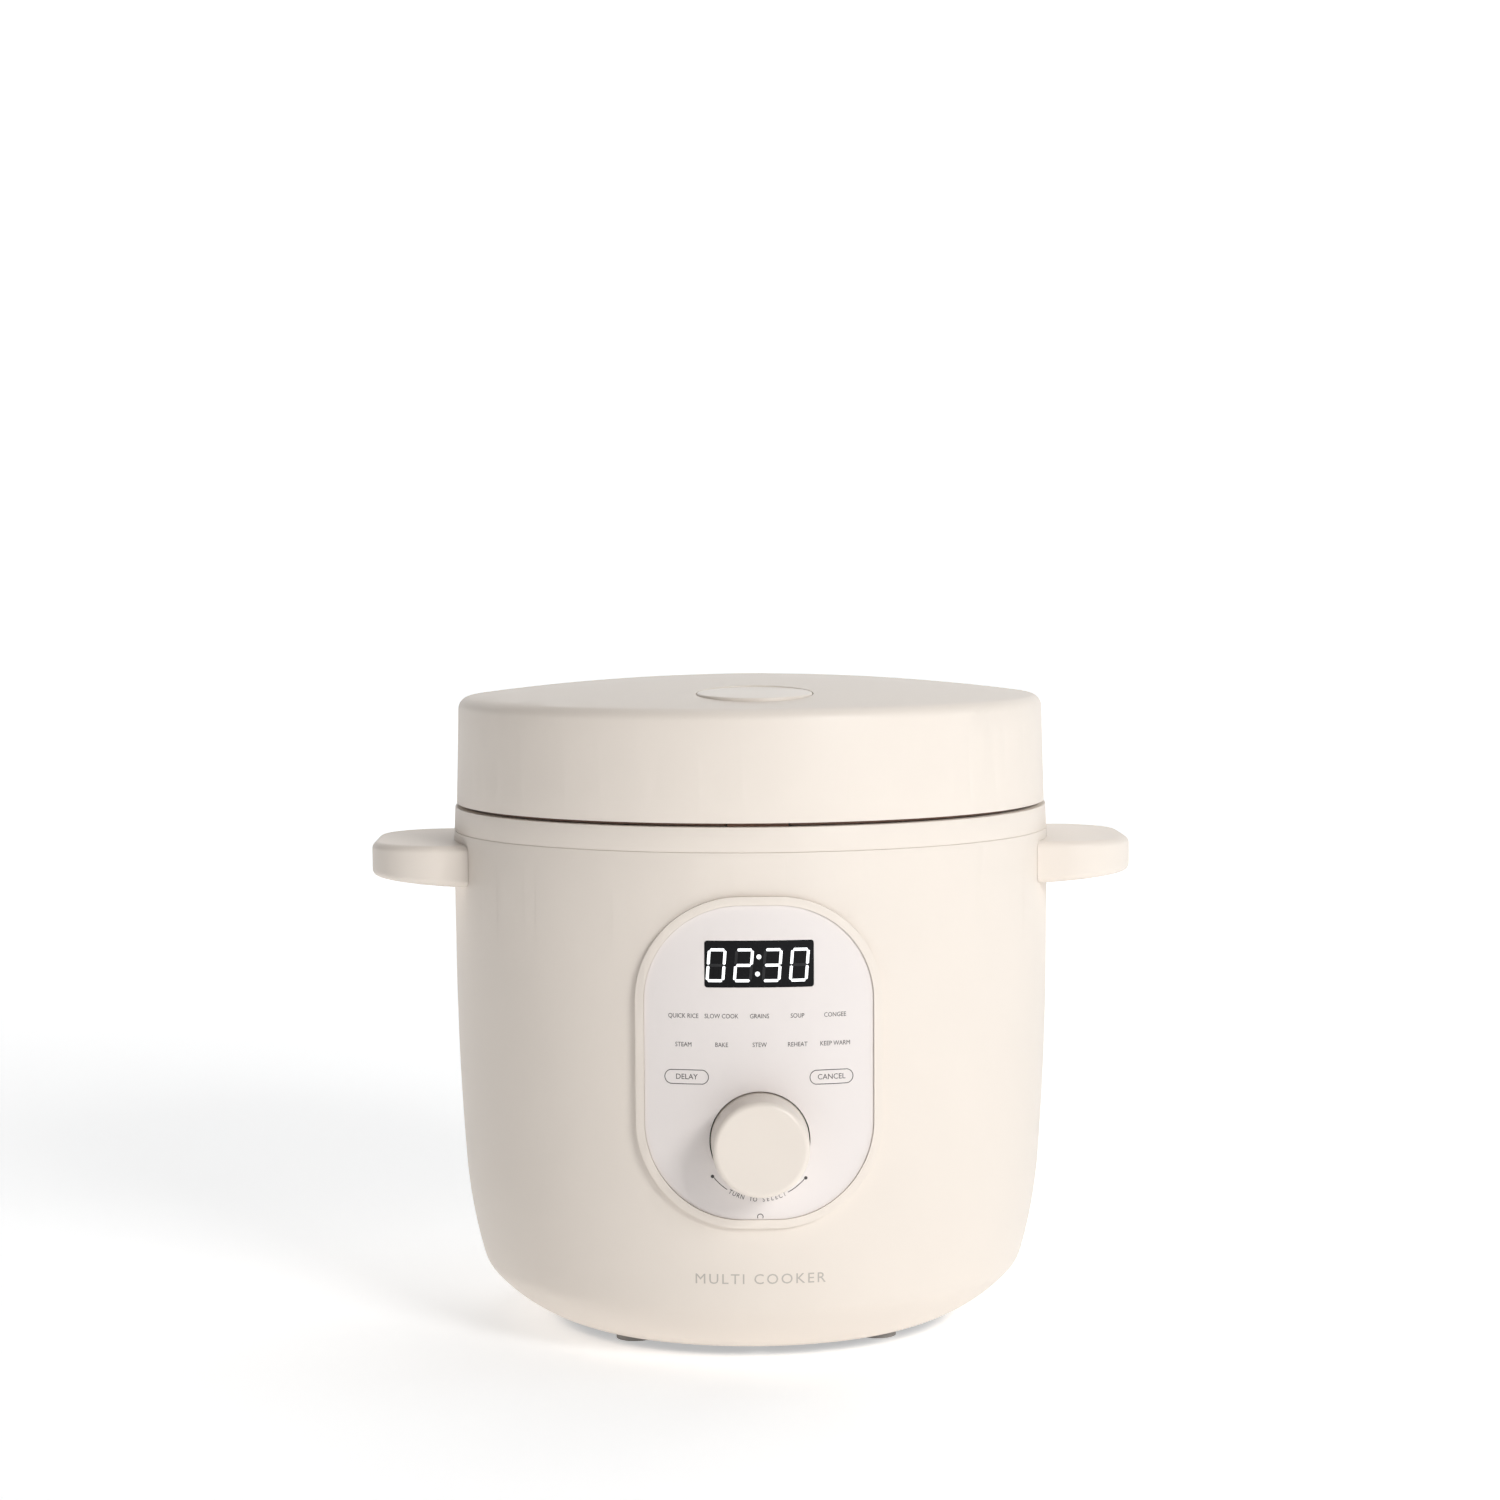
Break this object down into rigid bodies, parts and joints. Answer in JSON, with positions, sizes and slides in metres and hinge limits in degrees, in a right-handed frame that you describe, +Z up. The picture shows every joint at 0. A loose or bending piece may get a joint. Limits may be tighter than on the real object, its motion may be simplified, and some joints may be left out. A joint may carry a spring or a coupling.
{
  "type": "electric pressure cooker",
  "caption": "Round countertop multi-function electric cooker with a hinged, button-released lid, removable pot, oval control panel, dial and two side handles.",
  "frame": {"origin": "on the surface the cooker stands on, at the middle of its footprint", "axes": "+Z up, control panel towards -Y, side handles along X, lid hinge towards +Y"},
  "size_m": [0.2794, 0.254, 0.2385],
  "materials": {
    "ivory_plastic": "fine satin moulded",
    "film_white": "satin printed film",
    "dark_plastic": "moulded",
    "brown_plastic": "moulded",
    "smoke_window": "polished",
    "steel": "brushed",
    "aluminium": "satin",
    "pot_coating": "non-stick coating",
    "rubber_grey": "matte",
    "silicone": "satin translucent white",
    "board_green": "solder mask",
    "component_black": "moulded",
    "brass": "bright"
  },
  "bodies": {
    "body": {"outer_shell": "ivory_plastic", "collar_ring": "ivory_plastic", "handle_left": "ivory_plastic", "handle_right": "ivory_plastic", "handle_screws": "steel", "base_plate": "dark_plastic", "feet": "rubber_grey", "base_screws": "steel", "hinge_housing": "ivory_plastic", "hinge_screws": "steel", "hinge_pin": "steel", "hinge_spring": "steel", "latch_catch": "steel", "panel_bezel": "ivory_plastic", "panel_film": "film_white", "display_window": "smoke_window", "display_module": "component_black", "control_board": "board_green", "touch_springs": "steel", "encoder_body": "component_black", "control_ribbon": "silicone", "inner_liner": "aluminium", "heating_plate": "aluminium", "heating_element": "steel", "plate_supports": "steel", "thermal_fuse": "silicone", "probe_holder": "steel", "probe_spring": "steel", "inner_pot": "pot_coating", "power_board": "board_green", "transformer": "component_black", "relay": "component_black", "capacitors": "component_black", "inlet_housing": "dark_plastic", "inlet_pins": "brass"},
    "lid": {"lid_cover": "ivory_plastic", "lid_liner": "brown_plastic", "inner_lid_plate": "aluminium", "lid_gasket": "silicone", "plate_grommet": "rubber_grey", "vent_seal": "silicone", "lid_sensor": "steel", "latch_spring": "steel", "button_spring": "steel", "lid_screws": "steel"},
    "open_button": {"open_button": "ivory_plastic"},
    "latch_slider": {"latch_slider": "brown_plastic"},
    "steam_vent_cap": {"steam_vent_cap": "ivory_plastic"},
    "encoder_rotor": {"encoder_rotor": "dark_plastic"},
    "dial": {"dial_knob": "ivory_plastic", "dial_shaft": "steel"},
    "probe_cap": {"probe_cap": "aluminium"}
  },
  "joints": [
    {"name": "lid_hinge", "type": "hinge", "parent": "body", "child": "lid", "pos_m": [0, 0.1175, 0.187], "axis": [-1, 0, 0], "range_deg": [0, 80]},
    {"name": "button_press", "type": "slide", "parent": "lid", "child": "open_button", "axis": [0, 0, -1], "range_m": [0, 0.003], "stiffness_N_per_m": 900, "springref_m": -0.002, "deforming": ["button_spring"]},
    {"name": "latch_slide", "type": "slide", "parent": "lid", "child": "latch_slider", "axis": [0, 1, 0], "range_m": [0, 0.0025]},
    {"name": "vent_cap_lift", "type": "slide", "parent": "lid", "child": "steam_vent_cap", "axis": [0, 0, 1], "range_m": [0, 0.03]},
    {"name": "dial_turn", "type": "hinge", "parent": "body", "child": "encoder_rotor", "pos_m": [0, -0.102, 0.08315], "axis": [0, -1, 0], "continuous": true},
    {"name": "dial_press", "type": "slide", "parent": "encoder_rotor", "child": "dial", "axis": [0, 1, 0], "range_m": [0, 0.0012], "stiffness_N_per_m": 2500, "springref_m": -0.001},
    {"name": "probe_press", "type": "slide", "parent": "body", "child": "probe_cap", "axis": [0, 0, -1], "range_m": [0, 0.002], "stiffness_N_per_m": 400, "springref_m": -0.002, "deforming": ["probe_spring"]}
  ],
  "couplings": [
    {"joint": "latch_slide", "follows": "button_press", "ratio": 0.83333}
  ]
}
